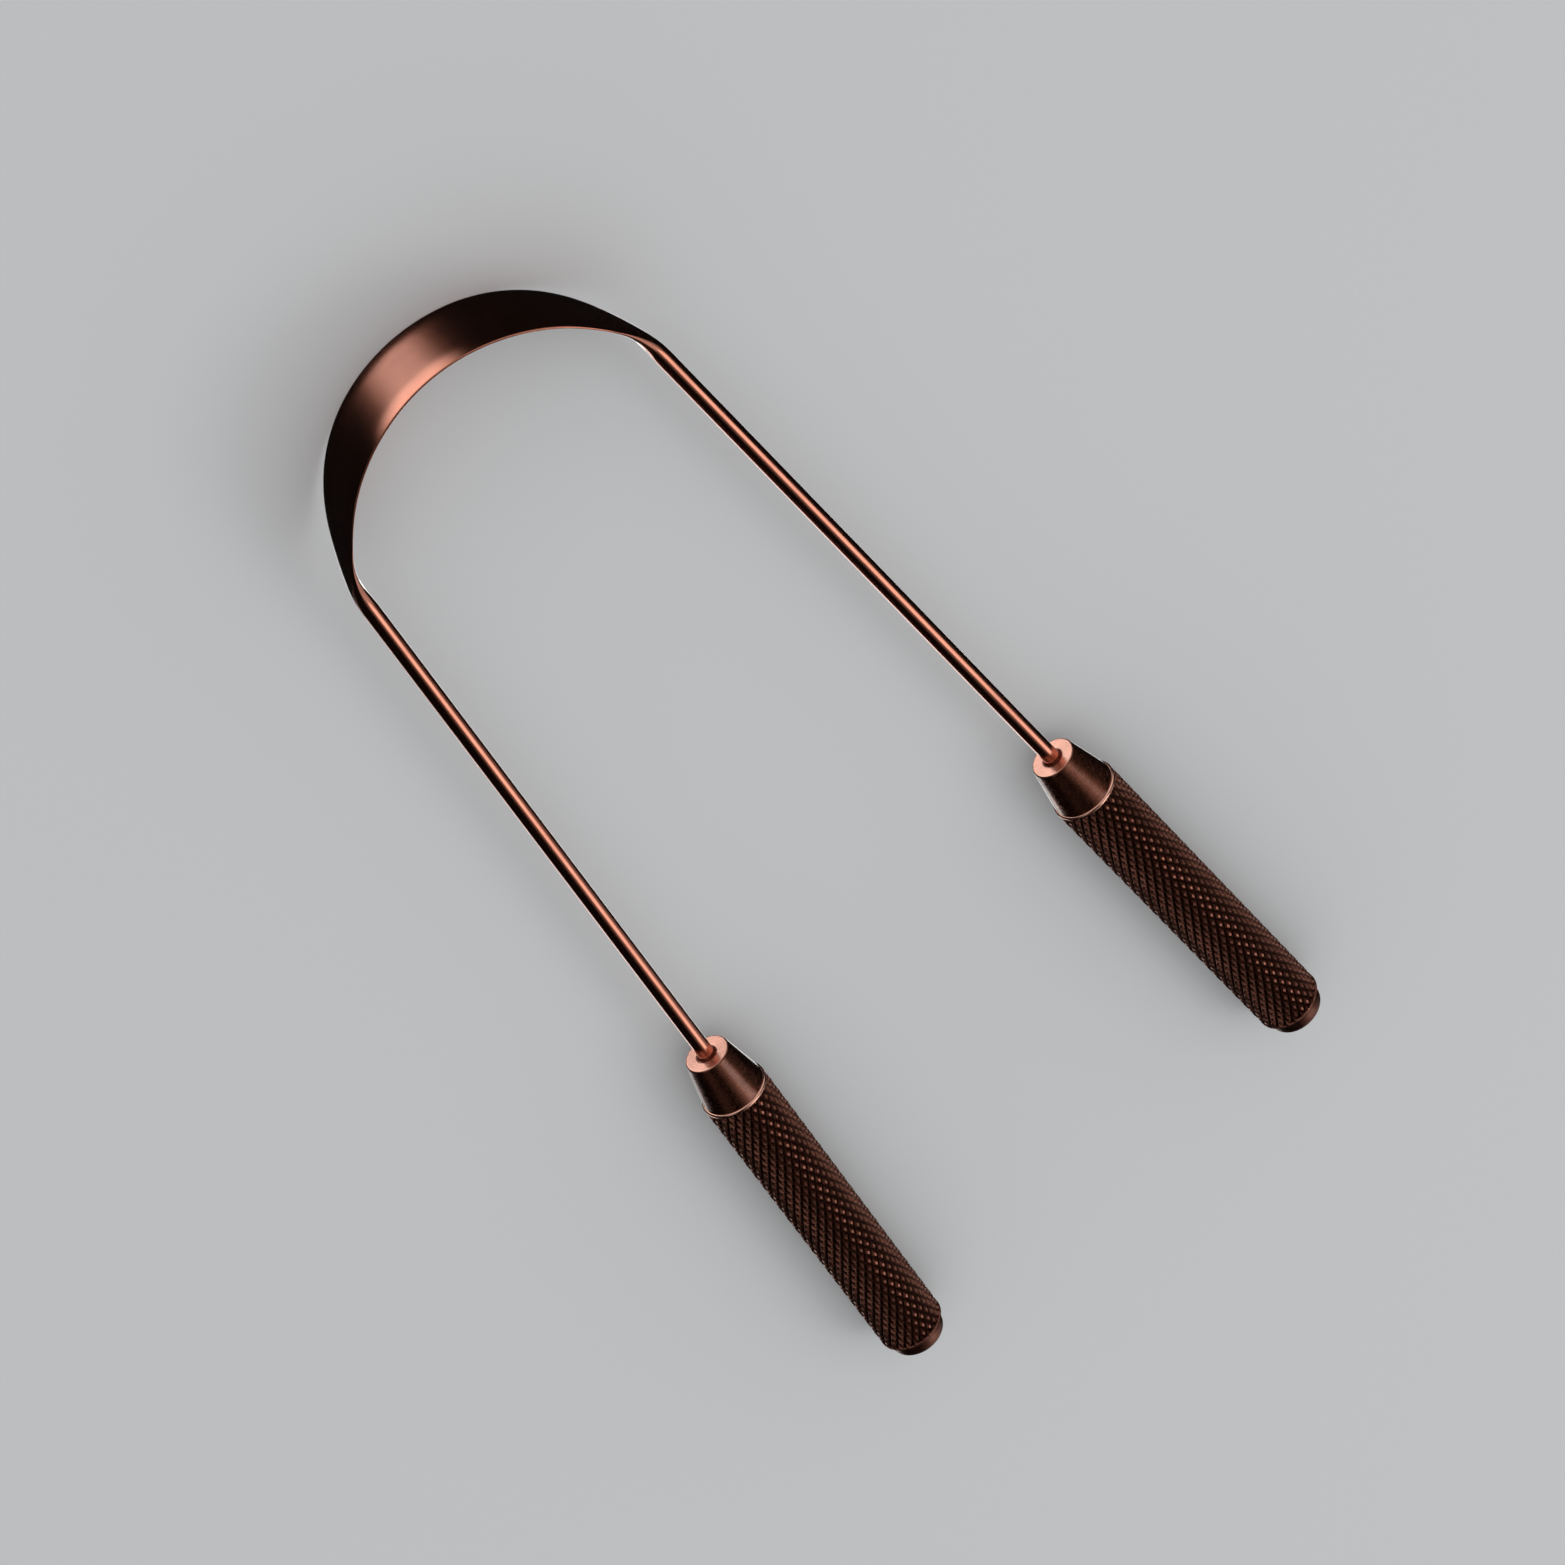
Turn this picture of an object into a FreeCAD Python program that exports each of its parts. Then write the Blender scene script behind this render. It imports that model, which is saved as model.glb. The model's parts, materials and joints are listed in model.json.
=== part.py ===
"""Copper tongue scraper: a U-shaped bow with a forged blade, and a knurled handle on each of its two ends.

The bow is drawn about the centre of the blade's curve, with +Y through the middle of the blade and the arms
running towards -Y. Each handle is drawn along its own +Z, which starts at the nose of its collar.
"""
import FreeCAD, Part
import math
import os
import Sketcher

# Driving dimensions, in millimetres and degrees

DRIVING = {
    "blade_radius": 19.2,
    "blade_height": 11.0,
    "blade_thickness": 0.4,
    "blade_half_angle": 62.0,
    "blade_taper_run": 7.6,
    "blade_end_land": 0.4,
    "neck_height": 8.1,
    "neck_mid_height": 4.2,
    "neck_radius": 23.5,
    "wire_diameter": 1.9,
    "arm_length": 71.0,
    "arm_splay_angle": 4.34,
    "wire_seat_depth": 12.0,
    "collar_length": 6.1,
    "nose_diameter": 5.3,
    "nose_chamfer": 0.15,
    "shoulder_diameter": 7.6,
    "collar_spigot_length": 9.0,
    "bead_diameter": 2.3,
    "bead_crest": 0.08,
    "bead_height": 0.25,
    "bead_seat_depth": 0.3,
    "grip_diameter": 8.0,
    "grip_length": 43.9,
    "grip_bore": 5.4,
    "rim_length": 0.25,
    "rim_step": 0.15,
    "tail_length": 0.5,
    "tail_step": 0.4,
    "knurl_pitch": 1.96,
    "knurl_depth": 0.34,
    "button_diameter": 6.8,
    "button_length": 1.9,
    "button_round": 0.9,
    "button_spigot_length": 6.0,
    "fit_gap": 0.02,
    "overrun": 1.0,
}

# Number of helical grooves of each hand round a grip
KNURL_STARTS = 24

# Sizes worked out from the driving ones, so that every fit follows the piece it fits

DERIVED = {
    "blade_half_height": "blade_height / 2",
    "blade_outer_radius": "blade_radius + blade_thickness / 2",
    "blade_inner_radius": "blade_radius - blade_thickness / 2",
    "blade_end_x": "blade_radius * sin(blade_half_angle)",
    "blade_end_y": "blade_radius * cos(blade_half_angle)",
    "blade_corner_x": "blade_outer_radius * sin(blade_half_angle)",
    "blade_turn": "90 - blade_half_angle",
    "neck_half_height": "neck_height / 2",
    "land_end_y": "blade_end_y + blade_end_land",
    "taper_start_y": "land_end_y + blade_taper_run",
    "taper_drop": "blade_half_height - neck_half_height",
    "taper_radius": "(blade_taper_run ^ 2 + taper_drop ^ 2) / (2 * taper_drop)",
    "taper_centre_height": "blade_half_height - taper_radius",
    "cut_top": "blade_half_height + overrun",
    "neck_centre_x": "(blade_radius - neck_radius) * sin(blade_half_angle)",
    "neck_centre_y": "(blade_radius - neck_radius) * cos(blade_half_angle)",
    "neck_mid_turn": "(blade_turn + arm_splay_angle) / 2",
    "neck_mid_x": "neck_centre_x + neck_radius * cos(neck_mid_turn)",
    "neck_mid_y": "neck_centre_y + neck_radius * sin(neck_mid_turn)",
    "arm_start_x": "neck_centre_x + neck_radius * cos(arm_splay_angle)",
    "arm_start_y": "neck_centre_y + neck_radius * sin(arm_splay_angle)",
    "half_thickness": "blade_thickness / 2",
    "wire_radius": "wire_diameter / 2",
    "wire_corner": "wire_radius / sqrt(2)",
    "mid_half_height": "neck_mid_height / 2",
    "mid_half_width": "(half_thickness + wire_radius) / 2",
    "mid_corner_x": "(half_thickness + wire_corner) / 2",
    "mid_corner_z": "mid_half_height * (1 + 1 / sqrt(2)) / 2",
    "mid_side_bulge": "mid_half_width - mid_corner_x",
    "mid_top_bulge": "mid_half_height - mid_corner_z",
    "mid_side_radius": "(mid_corner_z ^ 2 + mid_side_bulge ^ 2) / (2 * mid_side_bulge)",
    "mid_top_radius": "(mid_corner_x ^ 2 + mid_top_bulge ^ 2) / (2 * mid_top_bulge)",
    "arm_full_length": "arm_length + wire_seat_depth",
    "nose_radius": "nose_diameter / 2",
    "nose_face_radius": "nose_radius - nose_chamfer",
    "shoulder_radius": "shoulder_diameter / 2",
    "wire_bore_radius": "wire_radius + fit_gap",
    "wire_bore_depth": "wire_seat_depth + fit_gap",
    "grip_bore_radius": "grip_bore / 2",
    "spigot_radius": "grip_bore_radius - fit_gap",
    "collar_total": "collar_length + collar_spigot_length",
    "bead_radius": "bead_diameter / 2",
    "bead_crest_radius": "wire_bore_radius + bead_crest",
    "bead_total": "bead_height + bead_seat_depth",
    "grip_radius": "grip_diameter / 2",
    "valley_radius": "grip_radius - knurl_depth",
    "rim_radius": "grip_radius - rim_step",
    "tail_radius": "grip_radius - tail_step",
    "knurl_length": "grip_length - rim_length - tail_length",
    "button_radius": "button_diameter / 2",
    "button_total": "button_spigot_length + button_length",
    "button_side_end": "button_total - button_round",
    "button_flat_radius": "button_radius - button_round",
    "button_bevel_radius": "button_flat_radius + button_round / sqrt(2)",
    "button_bevel_height": "button_side_end + button_round / sqrt(2)",
    "button_seat": "collar_length + grip_length - button_spigot_length",
}

doc = FreeCAD.newDocument("tongue_scraper")
sheet = doc.addObject("Spreadsheet::Sheet", "sizes")
for row, (name, value) in enumerate(DRIVING.items(), start=1):
    sheet.set(f"A{row}", name)
    sheet.set(f"B{row}", str(value))
    sheet.setAlias(f"B{row}", name)
for row, (name, formula) in enumerate(DERIVED.items(), start=1):
    sheet.set(f"C{row}", name)
    sheet.set(f"D{row}", "=" + formula)
    sheet.setAlias(f"D{row}", name)
doc.recompute()


def size(name):
    """Value of a named size."""
    return float(sheet.get(name))


# Sketch helpers

ORIGIN = (-1, 1)
X_AXIS_INDEX = -1
Y_AXIS_INDEX = -2
START_INDEX, END_INDEX, CENTRE_INDEX = 1, 2, 3


def origin_feature(body, role):
    """Plane or axis of a body's own origin."""
    return next(feature for feature in body.Origin.OriginFeatures if feature.Role == role)


def new_sketch(body, name, role):
    """Empty sketch on one of the body's origin planes."""
    sketch = body.newObject("Sketcher::SketchObject", name)
    sketch.AttachmentSupport = [(origin_feature(body, role), "")]
    sketch.MapMode = "FlatFace"
    return sketch


def bind(sketch, kind, places, name):
    """Dimension of a sketch that follows a named size."""
    index = sketch.addConstraint(Sketcher.Constraint(kind, *places, size(name)))
    sketch.setExpression(f"Constraints[{index}]", f"sizes.{name}")


def bind_from_origin(sketch, kind, edge, end, sign, name):
    """Distance of one end of an edge from the sketch's origin, on the side that the sign gives."""
    places = (*ORIGIN, edge, end) if sign > 0 else (edge, end, *ORIGIN)
    bind(sketch, kind, places, name)


def place_point(sketch, edge, end, across, along):
    """Fix one end of an edge at two named sizes from the sketch's axes; None lies on the axis."""
    if across is None:
        sketch.addConstraint(Sketcher.Constraint("PointOnObject", edge, end, Y_AXIS_INDEX))
    else:
        bind(sketch, "DistanceX", (*ORIGIN, edge, end), across)
    if along is None:
        sketch.addConstraint(Sketcher.Constraint("PointOnObject", edge, end, X_AXIS_INDEX))
    else:
        bind(sketch, "DistanceY", (*ORIGIN, edge, end), along)


def point_of(corner):
    """Starting position of a corner given as two names of sizes."""
    across, along = corner
    return FreeCAD.Vector(size(across) if across else 0, size(along) if along else 0, 0)


def outline(sketch, corners, arc=None):
    """Closed outline through corners named by their sizes.

    arc, where given, is (index, centre): the edge after that corner is an arc about the centre, which is
    named the same way. It runs anticlockwise and is shorter than half a circle.
    """
    points = [point_of(corner) for corner in corners]
    count = len(corners)
    for index, point in enumerate(points):
        following = points[(index + 1) % count]
        if arc and arc[0] == index:
            middle = point_of(arc[1])
            radius = (point - middle).Length
            bulge = ((point - middle) + (following - middle)).normalize().multiply(radius)
            sketch.addGeometry(Part.Arc(point, middle + bulge, following))
        else:
            sketch.addGeometry(Part.LineSegment(point, following))
    for index, corner in enumerate(corners):
        before = (index - 1) % count
        sketch.addConstraint(Sketcher.Constraint("Coincident", before, END_INDEX, index, START_INDEX))
        place_point(sketch, index, START_INDEX, *corner)
    if arc:
        bind(sketch, "DistanceX", (*ORIGIN, arc[0], CENTRE_INDEX), arc[1][0])


def revolved(label, corners):
    """Turned piece: a half profile, given as radius and height, spun about the body's Z axis."""
    body = doc.addObject("PartDesign::Body", label)
    sketch = new_sketch(body, f"{label}_profile", "XZ_Plane")
    outline(sketch, corners)
    spin = body.newObject("PartDesign::Revolution", f"{label}_turned")
    spin.Profile = sketch
    spin.ReferenceAxis = (sketch, ["V_Axis"])
    spin.Angle = 360
    return body


# Scraper bow: blade strip with tapered edges, curved necks going from flat to round, and straight round arms

# Metal taken off above the blade's edge, as distance forward and height; the shoulder is round and leaves the
# full height smoothly
BLADE_EDGE = [
    ("taper_start_y", "blade_half_height"),
    ("land_end_y", "neck_half_height"),
    (None, "neck_half_height"),
    (None, "cut_top"),
    ("taper_start_y", "cut_top"),
]
BLADE_SHOULDER = (0, ("taper_start_y", "taper_centre_height"))


def strip_outline(sketch):
    """Plan of the blade: a thin arc of strip, cut square at both ends."""
    start = math.radians(size("blade_turn"))
    finish = math.pi - start
    normal = FreeCAD.Vector(0, 0, 1)
    for radius in ("blade_outer_radius", "blade_inner_radius"):
        circle = Part.Circle(FreeCAD.Vector(), normal, size(radius))
        sketch.addGeometry(Part.ArcOfCircle(circle, start, finish))
    outer, inner, right, left = range(4)
    curves = sketch.Geometry
    sketch.addGeometry(Part.LineSegment(curves[outer].StartPoint, curves[inner].StartPoint))
    sketch.addGeometry(Part.LineSegment(curves[inner].EndPoint, curves[outer].EndPoint))
    joins = [
        (outer, CENTRE_INDEX, *ORIGIN),
        (inner, CENTRE_INDEX, *ORIGIN),
        (outer, START_INDEX, right, START_INDEX),
        (right, END_INDEX, inner, START_INDEX),
        (inner, END_INDEX, left, START_INDEX),
        (left, END_INDEX, outer, END_INDEX),
    ]
    for join in joins:
        sketch.addConstraint(Sketcher.Constraint("Coincident", *join))
    for edge in (right, left):
        sketch.addConstraint(Sketcher.Constraint("PointOnObject", *ORIGIN, edge))
    bind(sketch, "Radius", (outer,), "blade_outer_radius")
    bind(sketch, "Radius", (inner,), "blade_inner_radius")
    bind_from_origin(sketch, "DistanceX", outer, START_INDEX, 1, "blade_corner_x")
    bind_from_origin(sketch, "DistanceX", outer, END_INDEX, -1, "blade_corner_x")


def stand_across(sketch, across, along, turn):
    """Stand a section sketch square to the bow's path, at a point of the arms' plane."""
    sketch.AttachmentOffset = FreeCAD.Placement(
        FreeCAD.Vector(), FreeCAD.Rotation(FreeCAD.Vector(0, 1, 0), size(turn))
    )
    sketch.setExpression("AttachmentOffset.Base.x", f"sizes.{across}")
    sketch.setExpression("AttachmentOffset.Base.z", f"-sizes.{along}")
    sketch.setExpression("AttachmentOffset.Rotation.Angle", f"sizes.{turn} * 1 deg")


def neck_section(sketch, corner, radii=None):
    """Four-sided section of a neck, centred on the sketch's origin.

    corner is named by its sizes across and up. radii names the radius of the tall sides and that of the top and
    bottom; without it the sides are straight.
    """
    signs = [(1, -1), (1, 1), (-1, 1), (-1, -1)]
    bulges = [(1, 0), (0, 1), (-1, 0), (0, -1)]
    wide, high = size(corner[0]), size(corner[1])
    points = [FreeCAD.Vector(across * wide, up * high, 0) for across, up in signs]
    for index, point in enumerate(points):
        following = points[(index + 1) % len(points)]
        if radii:
            radius = size(radii[index % 2])
            near, reach = (wide, high) if index % 2 == 0 else (high, wide)
            crown = near + radius - math.sqrt(radius**2 - reach**2)
            sketch.addGeometry(Part.Arc(point, FreeCAD.Vector(*bulges[index], 0) * crown, following))
        else:
            sketch.addGeometry(Part.LineSegment(point, following))
    for index, (across, up) in enumerate(signs):
        before = (index - 1) % len(signs)
        sketch.addConstraint(Sketcher.Constraint("Coincident", before, END_INDEX, index, START_INDEX))
        bind_from_origin(sketch, "DistanceX", index, START_INDEX, across, corner[0])
        bind_from_origin(sketch, "DistanceY", index, START_INDEX, up, corner[1])
        if radii:
            bind(sketch, "Radius", (index,), radii[index % 2])


def make_bow():
    """Blade, necks and arms, forged in one piece."""
    body = doc.addObject("PartDesign::Body", "scraper_bow")

    plan = new_sketch(body, "blade_plan", "XY_Plane")
    strip_outline(plan)
    strip = body.newObject("PartDesign::Pad", "blade_strip")
    strip.Profile = plan
    strip.SideType = "Symmetric"
    strip.setExpression("Length", "sizes.blade_height")
    doc.recompute()
    full_volume = strip.Shape.Volume

    edge = new_sketch(body, "blade_edge", "YZ_Plane")
    outline(edge, BLADE_EDGE, BLADE_SHOULDER)
    trim = body.newObject("PartDesign::Pocket", "upper_edge_taper")
    trim.Profile = edge
    trim.SideType = "Symmetric"
    trim.Type = "ThroughAll"
    lower = body.newObject("PartDesign::Mirrored", "lower_edge_taper")
    lower.Originals = [trim]
    lower.MirrorPlane = (origin_feature(body, "XY_Plane"), [""])
    body.Tip = lower
    doc.recompute()
    if not lower.Shape.Volume < trim.Shape.Volume < full_volume:
        raise RuntimeError("the blade's edges were not tapered")

    flat = new_sketch(body, "neck_flat_end", "XZ_Plane")
    stand_across(flat, "blade_end_x", "blade_end_y", "blade_turn")
    neck_section(flat, ("half_thickness", "neck_half_height"))
    middle = new_sketch(body, "neck_middle", "XZ_Plane")
    stand_across(middle, "neck_mid_x", "neck_mid_y", "neck_mid_turn")
    neck_section(middle, ("mid_corner_x", "mid_corner_z"), ("mid_side_radius", "mid_top_radius"))
    round_end = new_sketch(body, "neck_round_end", "XZ_Plane")
    stand_across(round_end, "arm_start_x", "arm_start_y", "arm_splay_angle")
    neck_section(round_end, ("wire_corner", "wire_corner"), ("wire_radius", "wire_radius"))
    neck = body.newObject("PartDesign::AdditiveLoft", "neck")
    neck.Profile = flat
    neck.Sections = [middle, round_end]

    arm = body.newObject("PartDesign::Pad", "arm")
    arm.Profile = round_end
    arm.setExpression("Length", "sizes.arm_full_length")

    both = body.newObject("PartDesign::Mirrored", "other_side")
    both.Originals = [neck, arm]
    both.MirrorPlane = (origin_feature(body, "YZ_Plane"), [""])
    body.Tip = both
    return body


# Knurled grip: a sleeve with a polished front rim, crossing helical grooves and a round bore


def knurl_rings():
    """Rings of points along the sleeve, from its front rim to its rear chamfer.

    Stations stand at half the diamonds' length. Each has a crest and a valley in turn, half a diamond apart,
    and the next station is shifted by one, so every crest lies inside four valleys.
    """
    rows = 2 * round(size("knurl_length") / size("knurl_pitch"))
    step = size("knurl_length") / rows
    crest, valley = size("grip_radius"), size("valley_radius")
    spokes = range(2 * KNURL_STARTS)
    stations = [(0, [size("rim_radius") for spoke in spokes])]
    for row in range(rows + 1):
        plain = row in (0, rows)
        radii = [crest if plain or (row + spoke) % 2 == 0 else valley for spoke in spokes]
        stations.append((size("rim_length") + row * step, radii))
    stations.append((size("grip_length"), [size("tail_radius") for spoke in spokes]))
    angles = [math.pi * spoke / KNURL_STARTS for spoke in spokes]
    return [
        [
            FreeCAD.Vector(radius * math.cos(angle), radius * math.sin(angle), height)
            for radius, angle in zip(radii, angles)
        ]
        for height, radii in stations
    ]


def knurl_cells(rings):
    """Corner lists of the faces between the rings; a knurled cell is split along its groove."""
    last = len(rings) - 2
    for level in range(last + 1):
        low, high = rings[level], rings[level + 1]
        for spoke in range(len(low)):
            onward = (spoke + 1) % len(low)
            near, far = low[spoke], low[onward]
            near_up, far_up = high[spoke], high[onward]
            if level in (0, last):
                yield [near, far, far_up, near_up]
            elif (level - 1 + spoke) % 2 == 0:
                yield [near, far, near_up]
                yield [far, far_up, near_up]
            else:
                yield [near, far, far_up]
                yield [near, far_up, near_up]


def knurled_sleeve():
    """Solid of a grip: knurled skin, flat ends and the bore that takes both spigots."""
    rings = knurl_rings()
    axis = FreeCAD.Vector(0, 0, 1)
    bore = size("grip_bore_radius")
    faces = [Part.Face(Part.makePolygon(cell + cell[:1])) for cell in knurl_cells(rings)]
    for ring in (rings[0], rings[-1]):
        rim = Part.makePolygon(ring + ring[:1])
        hole = Part.Wire(Part.Circle(axis * ring[0].z, axis, bore).toShape())
        faces.append(Part.makeFace([rim, hole], "Part::FaceMakerBullseye"))
    faces.append(Part.makeCylinder(bore, size("grip_length")).Faces[0])
    shell = Part.makeShell(faces)
    shell.sewShape()
    return Part.makeSolid(shell)


def make_grip(side, sleeve):
    """Grip of one side."""
    grip = doc.addObject("Part::Feature", f"{side}_grip")
    grip.Shape = sleeve
    return grip


# Turned pieces of a handle

COLLAR = [
    ("bead_radius", None),
    ("nose_face_radius", None),
    ("nose_radius", "nose_chamfer"),
    ("shoulder_radius", "collar_length"),
    ("spigot_radius", "collar_length"),
    ("spigot_radius", "collar_total"),
    (None, "collar_total"),
    (None, "wire_bore_depth"),
    ("wire_bore_radius", "wire_bore_depth"),
    ("wire_bore_radius", "bead_seat_depth"),
]
BRAZE_RING = [
    ("wire_bore_radius", None),
    ("bead_crest_radius", None),
    ("bead_radius", "bead_height"),
    ("wire_bore_radius", "bead_total"),
]
END_BUTTON = [
    (None, None),
    ("spigot_radius", None),
    ("spigot_radius", "button_spigot_length"),
    ("button_radius", "button_spigot_length"),
    ("button_radius", "button_side_end"),
    ("button_bevel_radius", "button_bevel_height"),
    ("button_flat_radius", "button_total"),
    (None, "button_total"),
]


def handle_pose(side, along):
    """Place of a handle's piece whose own origin lies that far behind the collar's nose."""
    splay = math.radians(size("arm_splay_angle"))
    towards = FreeCAD.Vector(side * math.sin(splay), -math.cos(splay), 0)
    up = FreeCAD.Vector(0, 0, 1)
    arm_start = FreeCAD.Vector(side * size("arm_start_x"), size("arm_start_y"), 0)
    base = arm_start + towards * (size("arm_length") + along)
    return FreeCAD.Placement(base, FreeCAD.Rotation(up, up.cross(towards) * -1, towards, "ZXY"))


poses = {}
pieces = [make_bow()]
poses[pieces[0]] = FreeCAD.Placement()
sleeve = knurled_sleeve()
for side, sign in (("left", -1), ("right", 1)):
    handle = [
        (revolved(f"{side}_collar", COLLAR), 0),
        (revolved(f"{side}_braze_ring", BRAZE_RING), -size("bead_height")),
        (make_grip(side, sleeve), size("collar_length")),
        (revolved(f"{side}_end_button", END_BUTTON), size("button_seat")),
    ]
    for piece, along in handle:
        pieces.append(piece)
        poses[piece] = handle_pose(sign, along)
doc.recompute()

# Rest: the part lies on the blade's lower edge and on the rear of both grips, so it leans back a little

grip_foot = handle_pose(1, size("collar_length") + size("grip_length") - size("tail_length")).Base.y
fall = size("blade_half_height") - size("grip_radius")
lean = math.degrees(math.atan2(fall, size("taper_start_y") - grip_foot))
leaning = FreeCAD.Placement(FreeCAD.Vector(), FreeCAD.Rotation(FreeCAD.Vector(1, 0, 0), lean))
for piece in pieces:
    piece.Placement = leaning.multiply(poses[piece])
doc.recompute()
box = FreeCAD.BoundBox()
for piece in pieces:
    box.add(piece.Shape.optimalBoundingBox(False, False))
to_floor = FreeCAD.Placement(FreeCAD.Vector(0, -box.Center.y, -box.ZMin), FreeCAD.Rotation())
for piece in pieces:
    piece.Placement = to_floor.multiply(piece.Placement)
doc.recompute()

# Check every object, then write each piece

for item in doc.Objects:
    if "Invalid" in item.State or "Error" in item.State:
        raise RuntimeError(f"{item.Label} did not build: {item.State}")
os.makedirs("parts", exist_ok=True)
for piece in pieces:
    shape = piece.Shape
    if shape.isNull() or not shape.isValid() or len(shape.Solids) != 1:
        raise RuntimeError(f"{piece.Label} is not one valid solid")
for piece in pieces:
    piece.Shape.exportStep(f"parts/{piece.Label}.step")
    print(f"{piece.Label}: {piece.Shape.Volume:.2f} cubic mm")
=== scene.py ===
import json
import math
import bmesh
import bpy
from mathutils import Matrix, Vector, noise


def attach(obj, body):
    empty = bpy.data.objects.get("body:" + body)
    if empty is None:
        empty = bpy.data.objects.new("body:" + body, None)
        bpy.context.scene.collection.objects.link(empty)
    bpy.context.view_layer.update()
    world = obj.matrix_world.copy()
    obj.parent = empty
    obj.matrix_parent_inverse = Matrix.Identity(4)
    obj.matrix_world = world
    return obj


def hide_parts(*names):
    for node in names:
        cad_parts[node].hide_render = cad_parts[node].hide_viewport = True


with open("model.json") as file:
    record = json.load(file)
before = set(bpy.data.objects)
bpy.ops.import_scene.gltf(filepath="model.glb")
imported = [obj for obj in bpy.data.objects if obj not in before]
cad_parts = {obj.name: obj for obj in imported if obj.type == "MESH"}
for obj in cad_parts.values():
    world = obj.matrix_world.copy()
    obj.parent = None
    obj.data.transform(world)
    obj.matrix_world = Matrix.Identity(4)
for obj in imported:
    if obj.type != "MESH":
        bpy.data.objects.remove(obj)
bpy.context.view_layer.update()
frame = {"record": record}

# Scraper bow
# One copper rod bent to a U. Its bight is forged into a tall thin blade, and each neck runs from the flat
# strip back to the round rod. The rod's two ends are pushed into the handles and brazed there.

MM = 0.001
ends = {mount["name"].split("_")[0]: mount for mount in frame["record"]["mounts"]}
handle_axis = {side: Vector(end["axis"]).normalized() for side, end in ends.items()}
end_face = {side: Vector(end["pos_m"]) for side, end in ends.items()}

COLLAR_LENGTH = 6.1 * MM
GRIP_LENGTH = 43.9 * MM
BUTTON_LENGTH = 1.9 * MM
HANDLE_LENGTH = COLLAR_LENGTH + GRIP_LENGTH + BUTTON_LENGTH
collar_nose = {side: end_face[side] - handle_axis[side] * HANDLE_LENGTH for side in ends}

NOSE_BEHIND_CENTRE = 71.037 * MM
STRIP_HALF_THICKNESS = 0.2 * MM
STRIP_CORNER = 0.09 * MM
WIRE_RADIUS = 0.95 * MM
WIRE_SEAT = 12.0 * MM

# Half height of the blade at distances along it from its middle, in millimetres
BLADE_EDGE = [
    (0.0, 5.5), (6.0, 5.5), (10.0, 5.4), (12.5, 5.24), (15.4, 4.96), (18.4, 4.5), (20.6, 3.98),
    (22.4, 3.33), (23.6, 2.8), (24.6, 2.38), (25.6, 1.98), (26.6, 1.61), (27.6, 1.28), (28.6, 1.04),
    (29.6, 0.95), (31.0, 0.95),
]
ROUNDING_STARTS = 19.9 * MM
ROUNDING_ENDS = 30.6 * MM

across = Vector((1.0, 0.0, 0.0))
forward = -(handle_axis["left"] + handle_axis["right"]).normalized()
upward = across.cross(forward)
splay = math.atan2(handle_axis["right"].dot(across), -handle_axis["right"].dot(forward))
noses_middle = (collar_nose["left"] + collar_nose["right"]) / 2
blade_centre = noses_middle + forward * NOSE_BEHIND_CENTRE

# The bow's bends as radius and heading at their end; the last one is as tight as it must be to meet the arm
BLADE_RADIUS = 19.2 * MM
BLADE_TURN = math.radians(50)
NECK_RADIUS = 23.65 * MM
NECK_TURN = math.radians(60.4)
bends = [(BLADE_RADIUS, BLADE_TURN), (NECK_RADIUS, NECK_TURN)]
arm_offset = (collar_nose["right"] - noses_middle).dot(across) - math.tan(splay) * NOSE_BEHIND_CENTRE
bent_x, bent_y, heading = 0.0, BLADE_RADIUS, 0.0
for radius, leaves in bends:
    bent_x += radius * (math.sin(leaves) - math.sin(heading))
    bent_y += radius * (math.cos(leaves) - math.cos(heading))
    heading = leaves
arm_heading = math.pi / 2 - splay
rise = math.sin(arm_heading) - math.sin(heading)
fall = math.cos(arm_heading) - math.cos(heading)
last_radius = (arm_offset - bent_x - math.tan(splay) * bent_y) / (rise + math.tan(splay) * fall)
bends.append((last_radius, arm_heading))
arm_length = (bent_y + last_radius * fall + NOSE_BEHIND_CENTRE) / math.cos(splay)
rod_end = arm_length + WIRE_SEAT
heading = 0.0
for radius, leaves in bends:
    rod_end += radius * (leaves - heading)
    heading = leaves


def bow_line(run):
    """Place on the bow's middle line, and its outward direction, at a distance from the blade's middle."""
    side = -1.0 if run < 0 else 1.0
    left = abs(run)
    x, y, heading = 0.0, BLADE_RADIUS, 0.0
    for radius, leaves in bends:
        onward = min(heading + left / radius, leaves)
        x += radius * (math.sin(onward) - math.sin(heading))
        y += radius * (math.cos(onward) - math.cos(heading))
        left -= radius * (onward - heading)
        heading = onward
    x, y = x + left * math.cos(heading), y - left * math.sin(heading)
    place = blade_centre + across * (side * x) + forward * y
    outward = across * (side * math.sin(heading)) + forward * math.cos(heading)
    return place, outward


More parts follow.
